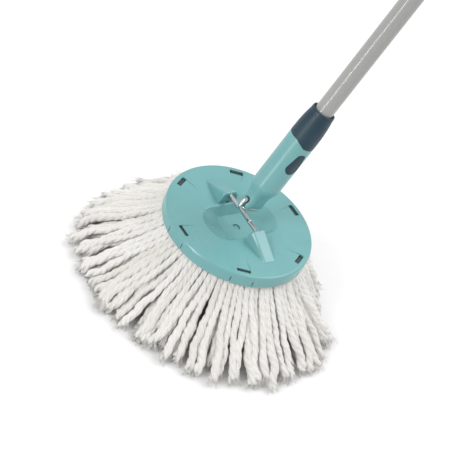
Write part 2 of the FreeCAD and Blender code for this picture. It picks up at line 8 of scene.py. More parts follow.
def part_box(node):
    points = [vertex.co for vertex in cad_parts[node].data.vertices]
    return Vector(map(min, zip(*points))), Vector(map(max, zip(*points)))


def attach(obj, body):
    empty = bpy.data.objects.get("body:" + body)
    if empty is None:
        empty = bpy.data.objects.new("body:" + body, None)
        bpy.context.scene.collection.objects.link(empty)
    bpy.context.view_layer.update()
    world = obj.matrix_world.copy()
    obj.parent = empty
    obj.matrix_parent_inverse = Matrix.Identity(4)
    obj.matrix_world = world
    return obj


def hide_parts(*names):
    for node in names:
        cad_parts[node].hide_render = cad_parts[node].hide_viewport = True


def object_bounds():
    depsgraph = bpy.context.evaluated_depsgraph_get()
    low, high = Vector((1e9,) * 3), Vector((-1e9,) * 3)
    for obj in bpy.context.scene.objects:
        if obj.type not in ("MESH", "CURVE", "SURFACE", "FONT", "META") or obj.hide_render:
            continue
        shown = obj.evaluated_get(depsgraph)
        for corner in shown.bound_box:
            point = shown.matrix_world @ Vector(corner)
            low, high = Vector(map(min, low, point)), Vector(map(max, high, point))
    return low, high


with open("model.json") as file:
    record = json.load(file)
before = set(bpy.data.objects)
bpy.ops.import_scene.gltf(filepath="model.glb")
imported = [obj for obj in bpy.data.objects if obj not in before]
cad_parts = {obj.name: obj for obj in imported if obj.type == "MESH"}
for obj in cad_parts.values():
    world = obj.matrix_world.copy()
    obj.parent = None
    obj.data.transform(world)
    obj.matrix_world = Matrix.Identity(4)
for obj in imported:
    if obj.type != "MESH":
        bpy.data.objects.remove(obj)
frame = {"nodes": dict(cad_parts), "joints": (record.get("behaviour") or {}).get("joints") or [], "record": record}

cadBox = [list(corner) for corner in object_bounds()]
joints = {joint["name"]: joint for joint in frame["joints"]}
floorHeight = cadBox[0][2]
handleFoot = Vector(joints["plate_tilt"]["pos_m"])  # where the handle meets the plate's wire
handleWay = Vector(joints["handle_push"]["axis"])  # up the handle
plateLow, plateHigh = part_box("top_plate")
plateRim = plateLow.z  # lower edge of the plate's rim
aimHeight = 0.015  # above the rim's edge, the point that the camera and the softboxes are placed from
plateCentre = Vector(((plateLow.x + plateHigh.x) / 2, (plateLow.y + plateHigh.y) / 2, plateRim + aimHeight))
print("frame loaded, plate centre", tuple(round(value, 4) for value in plateCentre))

cameraSetup = {
    "azimuth": -51.7,  # degrees, 0 looks along +Y
    "elevation": 39.3,
    "roll": 28.24,
    "distance": 2.022,
    "lens": 141.3,
    "sensor": 36,
    "plateRight": 0.0174,  # how far the plate's centre sits right of the middle, metres
    "plateUp": 0.0056,
}


def placeCamera(setup):
    azimuth, elevation = math.radians(setup["azimuth"]), math.radians(setup["elevation"])
    back = Vector((math.sin(azimuth) * math.cos(elevation), -math.cos(azimuth) * math.cos(elevation),
                   math.sin(elevation)))
    levelRight = Vector((0, 0, 1)).cross(back).normalized()
    levelUp = back.cross(levelRight)
    roll = math.radians(setup["roll"])
    right = levelRight * math.cos(roll) + levelUp * math.sin(roll)
    up = levelUp * math.cos(roll) - levelRight * math.sin(roll)
    data = bpy.data.cameras.new("studioCamera")
    data.lens = setup["lens"]
    data.sensor_width = setup["sensor"]
    camera = bpy.data.objects.new("studioCamera", data)
    bpy.context.scene.collection.objects.link(camera)
    turn = Matrix((right, up, back)).transposed().to_4x4()
    place = plateCentre + back * setup["distance"] - right * setup["plateRight"] - up * setup["plateUp"]
    camera.matrix_world = Matrix.Translation(place) @ turn
    bpy.context.scene.camera = camera
    return right, up, back


cameraRight, cameraUp, cameraBack = placeCamera(cameraSetup)


class Wiring:
    # Adds nodes to one tree and joins them.
    def __init__(self, tree):
        self.tree = tree
        self.column = 0

    def add(self, kind, **settings):
        node = self.tree.nodes.new(kind)
        node.location = (self.column, 0)
        self.column += 180
        for key, value in settings.items():
            setattr(node, key, value)
        return node

    def join(self, source, target):
        self.tree.links.new(source, target)

    def math(self, operation, first, second=None, clamp=False):
        node = self.add("ShaderNodeMath", operation=operation, use_clamp=clamp)
        for socket, value in zip(node.inputs, (first, second)):
            if value is None:
                continue
            if isinstance(value, (int, float)):
                socket.default_value = value
            else:
                self.join(value, socket)
        return node.outputs[0]

    def spread(self, value, low, high, newLow=0.0, newHigh=1.0):
        node = self.add("ShaderNodeMapRange")
        self.join(value, node.inputs["Value"])
        for name, number in (("From Min", low), ("From Max", high), ("To Min", newLow), ("To Max", newHigh)):
            node.inputs[name].default_value = number
        return node.outputs[0]

    def noise(self, where, scale, detail=2.0, roughness=0.5, distortion=0.0):
        node = self.add("ShaderNodeTexNoise")
        self.join(where, node.inputs["Vector"])
        values = (("Scale", scale), ("Detail", detail), ("Roughness", roughness), ("Distortion", distortion))
        for name, number in values:
            if isinstance(number, (int, float)):
                node.inputs[name].default_value = number
            else:
                self.join(number, node.inputs[name])
        return node.outputs["Fac"]

    def mixColour(self, amount, first, second, blend="MIX"):
        node = self.add("ShaderNodeMix", data_type="RGBA", blend_type=blend)
        if isinstance(amount, (int, float)):
            node.inputs["Factor"].default_value = amount
        else:
            self.join(amount, node.inputs["Factor"])
        for socket, value in ((node.inputs[6], first), (node.inputs[7], second)):
            if isinstance(value, tuple):
                socket.default_value = (*value, 1)
            else:
                self.join(value, socket)
        return node.outputs[2]

    def group(self, tree, **values):
        node = self.add("ShaderNodeGroup", node_tree=tree)
        for name, value in values.items():
            if isinstance(value, (int, float)):
                node.inputs[name].default_value = value
            else:
                self.join(value, node.inputs[name])
        return node


studioLights = {
    "ceiling": 0.82,
    "walls": 0.50,
    "wallTop": (0.05, 0.6),  # heights between which the walls' light turns into the ceiling's
    "softboxes": [
        # name, way to the lamp from the plate (right, up, back of the first view), distance, size, watts
        ("keySoftbox", (0.78, 0.58, 0.14), 1.9, 1.1, 13),
        ("frontSoftbox", (-0.39, 0.31, 0.87), 1.9, 0.60, 11),
    ],
    # narrow lamp beside the handle that only glossy reflections show
    "streak": {"tilt": 14, "height": 0.21, "distance": 0.5, "length": 0.50, "width": 0.022, "watts": 0.8},
}


def lightStudio(setup):
    world = bpy.data.worlds.new("softRoom")
    bpy.context.scene.world = world
    world.use_nodes = True
    wiring = Wiring(world.node_tree)
    height = wiring.add("ShaderNodeSeparateXYZ")
    wiring.join(wiring.add("ShaderNodeTexCoord").outputs["Generated"], height.inputs[0])
    level = wiring.spread(height.outputs["Z"], *setup["wallTop"], setup["walls"], setup["ceiling"])
    background = world.node_tree.nodes["Background"]
    background.inputs["Color"].default_value = (1, 1, 1, 1)
    wiring.join(level, background.inputs["Strength"])
    for name, way, distance, size, watts in setup["softboxes"]:
        lamp = bpy.data.lights.new(name, "AREA")
        lamp.shape = "DISK"
        lamp.size = size
        lamp.energy = watts
        holder = bpy.data.objects.new(name, lamp)
        bpy.context.scene.collection.objects.link(holder)
        direction = (cameraRight * way[0] + cameraUp * way[1] + cameraBack * way[2]).normalized()
        holder.location = plateCentre + direction * distance
        holder.rotation_mode = "QUATERNION"
        holder.rotation_quaternion = direction.to_track_quat("Z", "Y")
    streak = setup["streak"]
    across = handleWay.cross(cameraBack).normalized()
    facing = across.cross(handleWay).normalized()
    tilt = math.radians(streak["tilt"])
    normal = facing * math.cos(tilt) - across * math.sin(tilt)
    towards = (normal * (2 * normal.dot(cameraBack)) - cameraBack).normalized()
    lamp = bpy.data.lights.new("streakStrip", "AREA")
    lamp.shape = "RECTANGLE"
    lamp.size, lamp.size_y = streak["width"], streak["length"]
    lamp.energy = streak["watts"]
    holder = bpy.data.objects.new("streakStrip", lamp)
    bpy.context.scene.collection.objects.link(holder)
    out = (towards - handleWay * towards.dot(handleWay)).normalized()
    turn = Matrix((handleWay.cross(out), handleWay, out)).transposed().to_4x4()
    middle = handleFoot + handleWay * streak["height"] + towards * streak["distance"]
    holder.matrix_world = Matrix.Translation(middle) @ turn
    holder.visible_camera = False
    holder.visible_diffuse = False
    view = bpy.context.scene.view_settings
    view.view_transform = "Standard"
    view.look = "None"


lightStudio(studioLights)
print("camera and lights placed")


def newGroup(name, inputs, outputs):
    tree = bpy.data.node_groups.new(name, "ShaderNodeTree")
    for label, value in inputs.items():
        socket = tree.interface.new_socket(label, in_out="INPUT", socket_type="NodeSocketFloat")
        socket.default_value = value
    for label in outputs:
        tree.interface.new_socket(label, in_out="OUTPUT", socket_type="NodeSocketFloat")
    wiring = Wiring(tree)
    source = wiring.add("NodeGroupInput")
    target = wiring.add("NodeGroupOutput")
    return tree, wiring, source, target


def makeMouldGrain():
    # Fine spark-eroded grain of a moulding tool, and the slow flow marks under it.
    tree, wiring, source, target = newGroup("mouldGrain", {"Grain Scale": 1400.0, "Flow Scale": 22.0},
                                            ("Grain", "Flow"))
    place = wiring.add("ShaderNodeTexCoord").outputs["Object"]
    grain = wiring.noise(place, source.outputs["Grain Scale"], 3.0, 0.6)
    flow = wiring.noise(place, source.outputs["Flow Scale"], 3.0, 0.55, 0.8)
    wiring.join(grain, target.inputs["Grain"])
    wiring.join(flow, target.inputs["Flow"])
    return tree


def makeEdgeWear():
    # White where an edge is rubbed: a rounded normal against the flat one, broken up by noise.
    tree, wiring, source, target = newGroup("edgeWear", {"Radius": 0.0008, "Break Up": 160.0, "Gain": 6.0},
                                            ("Wear",))
    rounded = wiring.add("ShaderNodeBevel", samples=4)
    wiring.join(source.outputs["Radius"], rounded.inputs["Radius"])
    flat = wiring.add("ShaderNodeNewGeometry")
    meet = wiring.add("ShaderNodeVectorMath", operation="DOT_PRODUCT")
    wiring.join(rounded.outputs["Normal"], meet.inputs[0])
    wiring.join(flat.outputs["Normal"], meet.inputs[1])
    away = wiring.math("SUBTRACT", 1.0, meet.outputs["Value"])
    strong = wiring.math("MULTIPLY", away, source.outputs["Gain"], clamp=True)
    place = wiring.add("ShaderNodeTexCoord").outputs["Object"]
    patches = wiring.spread(wiring.noise(place, source.outputs["Break Up"], 4.0, 0.6), 0.38, 0.68)
    wiring.join(wiring.math("MULTIPLY", strong, patches, clamp=True), target.inputs["Wear"])
    return tree


def makeHandling():
    # Dull rubbed patches and thin hairline marks that handling leaves on the hard parts.
    tree, wiring, source, target = newGroup("handlingMarks", {"Patch Scale": 14.0, "Scratch Scale": 60.0},
                                            ("Patches", "Scratches"))
    place = wiring.add("ShaderNodeTexCoord").outputs["Object"]
    patches = wiring.spread(wiring.noise(place, source.outputs["Patch Scale"], 4.0, 0.6, 0.4), 0.3, 0.7)
    stretched = wiring.add("ShaderNodeMapping")
    stretched.inputs["Rotation"].default_value = (0.4, 0.9, 0.2)
    stretched.inputs["Scale"].default_value = (1.0, 14.0, 3.0)
    wiring.join(place, stretched.inputs["Vector"])
    lines = wiring.noise(stretched.outputs["Vector"], source.outputs["Scratch Scale"], 2.0, 0.4, 0.3)
    thin = wiring.math("ABSOLUTE", wiring.math("SUBTRACT", lines, 0.5))
    wiring.join(patches, target.inputs["Patches"])
    wiring.join(wiring.spread(thin, 0.0, 0.012, 1.0, 0.0), target.inputs["Scratches"])
    return tree


def makePaintedCreviceShade():
    # Painted shade: darker colour in hollows and inside corners, where shade falls, broken up by noise patches.
    tree, wiring, source, target = newGroup("paintedCreviceShade", {"Reach": 0.006, "Patch Scale": 90.0}, ("Painted Shade",))
    hollow = wiring.add("ShaderNodeAmbientOcclusion", samples=4)
    wiring.join(source.outputs["Reach"], hollow.inputs["Distance"])
    shut = wiring.spread(hollow.outputs["AO"], 0.25, 0.8, 1.0, 0.0)
    place = wiring.add("ShaderNodeTexCoord").outputs["Object"]
    patches = wiring.spread(wiring.noise(place, source.outputs["Patch Scale"], 3.0, 0.6), 0.3, 0.7, 0.75, 1.0)
    wiring.join(wiring.math("MULTIPLY", shut, patches, clamp=True), target.inputs["Painted Shade"])
    return tree


# Painted shade that darkens hollows and inside corners.
paintedCreviceShade = makePaintedCreviceShade()
mouldGrain = makeMouldGrain()
edgeWear = makeEdgeWear()
handlingMarks = makeHandling()


def newMaterial(name, constants):
    material = bpy.data.materials.new(name)
    material.use_nodes = True
    tree = material.node_tree
    shader = tree.nodes["Principled BSDF"]
    for socket, value in constants.items():
        shader.inputs[socket].default_value = value
    return material, Wiring(tree), shader


def addBump(wiring, shader, height, strength, distance):
    bump = wiring.add("ShaderNodeBump")
    bump.inputs["Strength"].default_value = strength
    bump.inputs["Distance"].default_value = distance
    wiring.join(height, bump.inputs["Height"])
    wiring.join(bump.outputs["Normal"], shader.inputs["Normal"])


# Each finish's last value sets how strongly painted shade darkens its hollows and inside corners.
hardFinishes = {
    "turquoisePlastic": {"slot": "turquoise_plastic", "colour": (0.165, 0.405, 0.412),
                         "shade": (0.150, 0.378, 0.385), "worn": (0.42, 0.66, 0.66), "rough": (0.26, 0.38),
                         "grain": 0.10, "specular": 0.5, "coat": 0.20, "wear": 0.5, "paintedCornerShade": 0.75},
    "darkBluePlastic": {"slot": "dark_blue_plastic", "colour": (0.004, 0.036, 0.060),
                        "shade": (0.003, 0.028, 0.048), "worn": (0.09, 0.15, 0.19), "rough": (0.34, 0.5),
                        "grain": 0.16, "specular": 0.5, "coat": 0.0, "wear": 0.6, "paintedCornerShade": 0.5},
    # The refill ring's dark green-grey is painted shade: it stands in for the shadow inside the slots above it.
    "ringPlasticPaintedShade": {"slot": "ring_plastic", "colour": (0.050, 0.090, 0.088), "shade": (0.040, 0.074, 0.074),
                    "worn": (0.16, 0.23, 0.22), "rough": (0.40, 0.58), "grain": 0.16, "specular": 0.45,
                    "coat": 0.0, "wear": 0.4, "paintedCornerShade": 0.8},
    "innerPlastic": {"slot": "inner_plastic", "colour": (0.66, 0.66, 0.63), "shade": (0.58, 0.58, 0.54),
                     "worn": (0.8, 0.8, 0.78), "rough": (0.38, 0.55), "grain": 0.12, "specular": 0.5,
                     "coat": 0.0, "wear": 0.3, "paintedCornerShade": 0.4},
    "gripRubber": {"slot": "grip_rubber", "colour": (0.026, 0.052, 0.072), "shade": (0.018, 0.036, 0.052),
                   "worn": (0.06, 0.09, 0.11), "rough": (0.62, 0.8), "grain": 0.35, "specular": 0.35,
                   "coat": 0.0, "wear": 0.5, "paintedCornerShade": 0.5},
}


def makeMoulded(name, setup):
    material, wiring, shader = newMaterial(name, {
        "Specular IOR Level": setup["specular"], "Coat Weight": setup["coat"], "Coat Roughness": 0.25})
    grain = wiring.group(mouldGrain)
    marks = wiring.group(handlingMarks)
    wear = wiring.math("MULTIPLY", wiring.group(edgeWear).outputs["Wear"], setup["wear"])
    body = wiring.mixColour(wiring.spread(grain.outputs["Flow"], 0.3, 0.7), setup["shade"], setup["colour"])
    # Painted shade: hollows and inside corners darken towards a dim copy of the shade tone.
    paintedCornerShade = wiring.math("MULTIPLY", wiring.group(paintedCreviceShade).outputs["Painted Shade"], setup["paintedCornerShade"])
    body = wiring.mixColour(paintedCornerShade, body, tuple(0.45 * value for value in setup["shade"]))
    wiring.join(wiring.mixColour(wear, body, setup["worn"]), shader.inputs["Base Color"])
    dull = wiring.spread(marks.outputs["Patches"], 0.0, 1.0, *setup["rough"])
    wiring.join(wiring.math("ADD", dull, wiring.math("MULTIPLY", marks.outputs["Scratches"], 0.08)),
                shader.inputs["Roughness"])
    cuts = wiring.math("MULTIPLY", marks.outputs["Scratches"], 0.3)
    height = wiring.math("SUBTRACT", grain.outputs["Grain"], cuts)
    addBump(wiring, shader, height, setup["grain"], 0.0003)
    return material


tubePaint = {"slot": "silver_grey_paint", "colour": (0.36, 0.365, 0.345), "shade": (0.32, 0.325, 0.31),
             "steel": (0.55, 0.54, 0.52), "rough": (0.17, 0.26), "peel": 420.0, "fleck": 3800.0}


def makeTubePaint(setup):
    # Semi-gloss paint on drawn steel tube: orange peel, fine fleck, bare metal at rubbed edges.
    material, wiring, shader = newMaterial("silverGreyPaint", {"Specular IOR Level": 0.6, "Coat Weight": 0.35,
                                                               "Coat Roughness": 0.16})
    place = wiring.add("ShaderNodeTexCoord").outputs["Object"]
    marks = wiring.group(handlingMarks, **{"Patch Scale": 9.0, "Scratch Scale": 45.0})
    wear = wiring.group(edgeWear, Radius=0.0006).outputs["Wear"]
    peel = wiring.noise(place, setup["peel"], 3.0, 0.5)
    fleck = wiring.noise(place, setup["fleck"], 1.0, 0.5)
    body = wiring.mixColour(wiring.spread(fleck, 0.35, 0.65), setup["shade"], setup["colour"])
    wiring.join(wiring.mixColour(wear, body, setup["steel"]), shader.inputs["Base Color"])
    wiring.join(wear, shader.inputs["Metallic"])
    dull = wiring.spread(marks.outputs["Patches"], 0.0, 1.0, *setup["rough"])
    wiring.join(dull, shader.inputs["Roughness"])
    height = wiring.math("ADD", peel, wiring.math("MULTIPLY", marks.outputs["Scratches"], -0.25))
    addBump(wiring, shader, height, 0.12, 0.0003)
    return material


metals = {
    "brightWire": {"slot": "bright_wire", "colour": (0.66, 0.66, 0.67), "tarnish": (0.42, 0.42, 0.43),
                   "rough": (0.08, 0.20), "lines": 260.0},
    "springSteel": {"slot": "spring_steel", "colour": (0.56, 0.56, 0.57), "tarnish": (0.36, 0.35, 0.34),
                    "rough": (0.24, 0.42), "lines": 900.0},
}


def makeMetal(name, setup):
    material, wiring, shader = newMaterial(name, {"Metallic": 1.0})
    place = wiring.add("ShaderNodeTexCoord").outputs["Object"]
    marks = wiring.group(handlingMarks, **{"Patch Scale": 90.0, "Scratch Scale": 300.0})
    lines = wiring.noise(place, setup["lines"], 3.0, 0.6)
    wiring.join(wiring.mixColour(wiring.math("MULTIPLY", marks.outputs["Patches"], 0.6), setup["colour"],
                                 setup["tarnish"]), shader.inputs["Base Color"])
    wiring.join(wiring.spread(lines, 0.3, 0.7, *setup["rough"]), shader.inputs["Roughness"])
    addBump(wiring, shader, wiring.math("ADD", lines, marks.outputs["Scratches"]), 0.08, 0.0002)
    return material


slotMaterials = {}
for finishName, finish in hardFinishes.items():
    slotMaterials[finish["slot"]] = makeMoulded(finishName, finish)
for metalName, metal in metals.items():
    slotMaterials[metal["slot"]] = makeMetal(metalName, metal)
slotMaterials[tubePaint["slot"]] = makeTubePaint(tubePaint)
print("hard finishes made")

# The third colour is painted shade for the grooves between the fibres.
cottonFinish = {"white": (0.84, 0.825, 0.80), "raw": (0.76, 0.74, 0.70), "grooveShade": (0.66, 0.63, 0.585),
                "fibres": 7.0, "lay": 0.011, "sheen": 0.25, "fuzz": 700.0, "slubs": 130.0}


def makeCotton(setup):
    # Soft spun cotton: fibres wind round each ply, with slubs and a tint of its own for every yarn.
    material, wiring, shader = newMaterial("cottonYarn", {
        "Roughness": 0.95, "Specular IOR Level": 0.2, "Sheen Weight": setup["sheen"], "Sheen Roughness": 0.6})
    place = wiring.add("ShaderNodeTexCoord").outputs["Object"]
    strand = wiring.add("ShaderNodeUVMap", uv_map="strandMap").outputs["UV"]
    parts = wiring.add("ShaderNodeSeparateXYZ")
    wiring.join(strand, parts.inputs[0])
    fuzz = wiring.noise(place, setup["fuzz"], 3.0, 0.65)
    turns = wiring.math("ADD", wiring.math("MULTIPLY", parts.outputs["Y"], setup["fibres"]),
                        wiring.math("DIVIDE", parts.outputs["X"], setup["lay"]))
    loose = wiring.math("ADD", turns, wiring.math("MULTIPLY", fuzz, 0.9))
    fibres = wiring.math("SINE", wiring.math("MULTIPLY", loose, 2 * math.pi))
    slubs = wiring.noise(place, setup["slubs"], 2.0, 0.5)
    tint = wiring.add("ShaderNodeAttribute", attribute_name="yarnTint").outputs["Fac"]
    body = wiring.mixColour(tint, setup["white"], setup["raw"])
    # Painted shade: the grooves between the fibres, low in the bump, darken towards the third colour.
    hollow = wiring.math("MULTIPLY", wiring.spread(fibres, -1.0, 0.2, 1.0, 0.0), 0.22)
    wiring.join(wiring.mixColour(hollow, body, setup["grooveShade"]), shader.inputs["Base Color"])
    height = wiring.math("ADD", wiring.math("MULTIPLY", fibres, 0.35),
                         wiring.math("ADD", wiring.math("MULTIPLY", fuzz, 0.8), slubs))
    addBump(wiring, shader, height, 0.55, 0.0006)
    return material


cotton = makeCotton(cottonFinish)
slotMaterials["cotton_yarn"] = cotton

mopYarn = {
    "seed": 11,
    "plies": 3,
    "plyRadius": 0.0030,
    "plyOffset": 0.0017,  # ply's middle from the yarn's middle
    "twistPitch": 0.030,
    "ringStep": 0.0022,
    "sides": 9,
    "nearSide": 215.0,  # degrees, the side on which the yarn lies spread out
    "farFade": (85, 14),  # degrees from that side where the yarn starts to draw in, and over how many
    "farReach": 0.835,  # reach of the feet on the other side, as a share
    "farSway": (0.05, 100.0),  # share by which that reach varies, and the direction of the longest
    "azimuthSpread": 0.12,  # as a share of the step from yarn to yarn
    "lean": 0.025,  # radians, spread of a yarn's turn off its own direction
    "lieHeight": (0.0047, 0.0015),  # middle line above the floor at the foot, and its spread
    "bendShare": 0.52,
    "swellSpread": 0.03,
    "pathSteps": 240,
    "straightShare": 0.2,  # no waves over this share of the path at the root
    "waves": ((0.031, 0.0011), (0.075, 0.0022)),  # length and height of the sideways waves
    "lift": (0.045, 0.0011),
    "sizeSpread": 0.06,
    "slubs": (0.012, 0.05),  # length and share of the yarn's thick and thin places
    "plySlubs": (0.005, 0.07),
    "rootSlim": (0.84, 0.24, 0.015, 0.10),  # packed tight at the root: share, gain, start, length
    "pitchSpread": 0.06,
    "twistDrift": (0.02, 0.25),
    "tint": (0.4, 0.3),
    "frayLength": 0.018,  # the plies part over this length at the cut end
    "fraySpread": (0.3, 1.3),
    "frayThin": 0.12,
    "cutRings": 3,  # a ply may end up to one less than this many rings short
    "tipTaper": (0.9, 0.62),
    "tuft": {"fibres": 20, "length": 0.010, "lengths": (0.6, 1.3), "radius": 0.00055, "radii": (0.7, 1.3),
             "flare": (0.1, 0.6), "start": (0.0006, 0.0042), "droop": 0.3, "taper": 0.55,
             "rings": 7, "sides": 4, "curl": 1.6,
             "skew": 0.01},  # keeps the side vector off the fibre's own line
    "layers": {
        "outerYarns": {"node": "strands_outer", "count": 86, "rootRadius": 0.0820, "rootDrop": -0.004,
                       "kneeRadius": 0.0830, "kneeDrop": 0.0130, "footRadius": 0.1675, "swell": 0.40,
                       "scatter": 0.0045},
        "middleYarns": {"node": "strands_middle", "count": 80, "rootRadius": 0.0765, "rootDrop": 0.004,
                        "kneeRadius": 0.0785, "kneeDrop": 0.0150, "footRadius": 0.1560, "swell": 0.42,
                        "scatter": 0.0060},
        "innerYarns": {"node": "strands_inner", "count": 60, "rootRadius": 0.0690, "rootDrop": 0.006,
                       "kneeRadius": 0.0700, "kneeDrop": 0.0240, "footRadius": 0.1330, "swell": 0.40,
                       "scatter": 0.0060},
    },
}


def sweepTube(centres, radii, across, sides):
    # Round tube on a line of centres; across is a steady side vector. Gives vertices, faces and strand map.
    count = len(centres)
    along = np.gradient(centres, axis=0)
    along /= np.linalg.norm(along, axis=1)[:, None]
    side = across - (along @ across)[:, None] * along
    side /= np.linalg.norm(side, axis=1)[:, None]
    over = np.cross(side, along)
    turn = np.arange(sides) * 2 * math.pi / sides
    offset = np.cos(turn)[None, :, None] * side[:, None, :] + np.sin(turn)[None, :, None] * over[:, None, :]
    points = (centres[:, None, :] + offset * radii[:, None, None]).reshape(-1, 3)
    points = np.vstack([points, centres[:1], centres[-1:] + along[-1:] * radii[-1]])
    run = np.concatenate([[0], np.cumsum(np.linalg.norm(np.diff(centres, axis=0), axis=1))])
    row, column = np.meshgrid(np.arange(count - 1), np.arange(sides), indexing="ij")
    after = (column + 1) % sides
    quads = np.stack([row * sides + column, row * sides + after, (row + 1) * sides + after,
                      (row + 1) * sides + column], -1).reshape(-1, 4)
    quadMap = np.stack([
        np.stack([run[row], column / sides], -1), np.stack([run[row], (column + 1) / sides], -1),
        np.stack([run[row + 1], (column + 1) / sides], -1), np.stack([run[row + 1], column / sides], -1),
    ], 2).reshape(-1, 4, 2)
    start, end = count * sides, count * sides + 1
    last = (count - 1) * sides
    caps = [[start, (k + 1) % sides, k] for k in range(sides)]
    caps += [[end, last + k, last + (k + 1) % sides] for k in range(sides)]
    capMap = [[[run[0], 0.5], [run[0], (k + 1) / sides], [run[0], k / sides]] for k in range(sides)]
    capMap += [[[run[-1], 0.5], [run[-1], k / sides], [run[-1], (k + 1) / sides]] for k in range(sides)]
    return points, quads, quadMap, np.array(caps), np.array(capMap)


class YarnPile:
    # Gathers many swept tubes into one mesh.
    def __init__(self):
        self.points, self.loops, self.sizes, self.maps, self.tints = [], [], [], [], []
        self.total = 0

    def lay(self, tube, tint):
        points, quads, quadMap, caps, capMap = tube
        self.points.append(points)
        self.loops += [(quads + self.total).ravel(), (caps + self.total).ravel()]
        self.sizes += [np.full(len(quads), 4), np.full(len(caps), 3)]
        self.maps += [quadMap.reshape(-1, 2), capMap.reshape(-1, 2)]
        self.tints.append(np.full(len(points), tint))
        self.total += len(points)

    def build(self, name):
        points, loops, sizes = np.vstack(self.points), np.concatenate(self.loops), np.concatenate(self.sizes)
        mesh = bpy.data.meshes.new(name)
        mesh.vertices.add(len(points))
        mesh.vertices.foreach_set("co", points.astype(np.float32).ravel())
        mesh.loops.add(len(loops))
        mesh.loops.foreach_set("vertex_index", loops.astype(np.int32))
        mesh.polygons.add(len(sizes))
        starts = np.concatenate([[0], np.cumsum(sizes)[:-1]])
        mesh.polygons.foreach_set("loop_start", starts.astype(np.int32))
        mesh.polygons.foreach_set("loop_total", sizes.astype(np.int32))
        mesh.update(calc_edges=True)
        mesh.validate()
        strandMap = mesh.uv_layers.new(name="strandMap")
        strandMap.data.foreach_set("uv", np.vstack(self.maps).astype(np.float32).ravel())
        tint = mesh.attributes.new("yarnTint", "FLOAT", "POINT")
        tint.data.foreach_set("value", np.concatenate(self.tints).astype(np.float32))
        mesh.polygons.foreach_set("use_smooth", np.ones(len(sizes), bool))
        piece = bpy.data.objects.new(name, mesh)
        bpy.context.scene.collection.objects.link(piece)
        return piece


def waver(chance, run, length, amount):
    # Wave along a strand, with a random length and start.
    return np.sin(run / length * 2 * math.pi * chance.uniform(0.7, 1.2) + chance.uniform(0, 6.3)) * amount


def yarnLine(layer, azimuth, chance):
    # Middle line of one yarn, from under the rim out and down to the floor.
    near = math.radians(mopYarn["nearSide"])
    turned = abs((azimuth - near + math.pi) % (2 * math.pi) - math.pi)
    fadeStart, fadeWidth = mopYarn["farFade"]
    fade = min(max((math.degrees(turned) - fadeStart) / fadeWidth, 0), 1)
    sway, longest = mopYarn["farSway"]
    far = mopYarn["farReach"] + sway * math.cos(azimuth - math.radians(longest))
    reach = 1 - (1 - far) * fade * fade * (3 - 2 * fade)
    foot = layer["footRadius"] * reach + chance.normal(0, layer["scatter"])
    lean = chance.normal(0, mopYarn["lean"])
    root = (layer["rootRadius"], plateRim - layer["rootDrop"])
    knee = (layer["kneeRadius"], plateRim - layer["kneeDrop"])
    lieHeight, lieSpread = mopYarn["lieHeight"]
    low = floorHeight + lieHeight + abs(chance.normal(0, lieSpread))
    swell = layer["swell"] + chance.normal(0, mopYarn["swellSpread"])
    rise = knee[1] - low
    bend = (knee[0] + (foot - knee[0]) * mopYarn["bendShare"], knee[1] - rise * swell)
    steps = np.linspace(0, 1, mopYarn["pathSteps"])[:, None]
    control = np.array([root, knee, bend, (foot, low)])
    weights = np.hstack([(1 - steps) ** 3, 3 * steps * (1 - steps) ** 2,
                         3 * steps ** 2 * (1 - steps), steps ** 3])
    reachHigh = weights @ control
    share = steps[:, 0]
    run = np.concatenate([[0], np.cumsum(np.linalg.norm(np.diff(reachHigh, axis=0), axis=1))])
    grow = np.clip((share - mopYarn["straightShare"]) / (1 - mopYarn["straightShare"]), 0, 1)
    shortWave, longWave = mopYarn["waves"]
    waves = waver(chance, run, *shortWave) + waver(chance, run, *longWave)
    lift = waver(chance, run, *mopYarn["lift"])
    angle = azimuth + lean * grow ** 1.5
    radius, height = reachHigh[:, 0] + lift * grow, np.maximum(reachHigh[:, 1] + lift * grow, low)
    out = np.stack([np.cos(angle), np.sin(angle)], 1)
    sideways = np.stack([-np.sin(angle), np.cos(angle)], 1)
    flat = out * radius[:, None] + sideways * (waves * grow)[:, None]
    line = np.column_stack([flat[:, 0] + plateCentre.x, flat[:, 1] + plateCentre.y, height])
    run = np.concatenate([[0], np.cumsum(np.linalg.norm(np.diff(line, axis=0), axis=1))])
    even = np.linspace(0, run[-1], max(8, int(run[-1] / mopYarn["ringStep"])))
    return np.column_stack([np.interp(even, run, line[:, k]) for k in range(3)]), even


def smoothNoise(chance, run, length, amount):
    # Soft random swell along a strand.
    knots = max(4, int(run[-1] / length) + 3)
    values = chance.normal(0, amount, knots)
    share = run / run[-1] * (knots - 1)
    low = np.minimum(share.astype(int), knots - 2)
    part = share - low
    part = part * part * (3 - 2 * part)
    return values[low] * (1 - part) + values[low + 1] * part


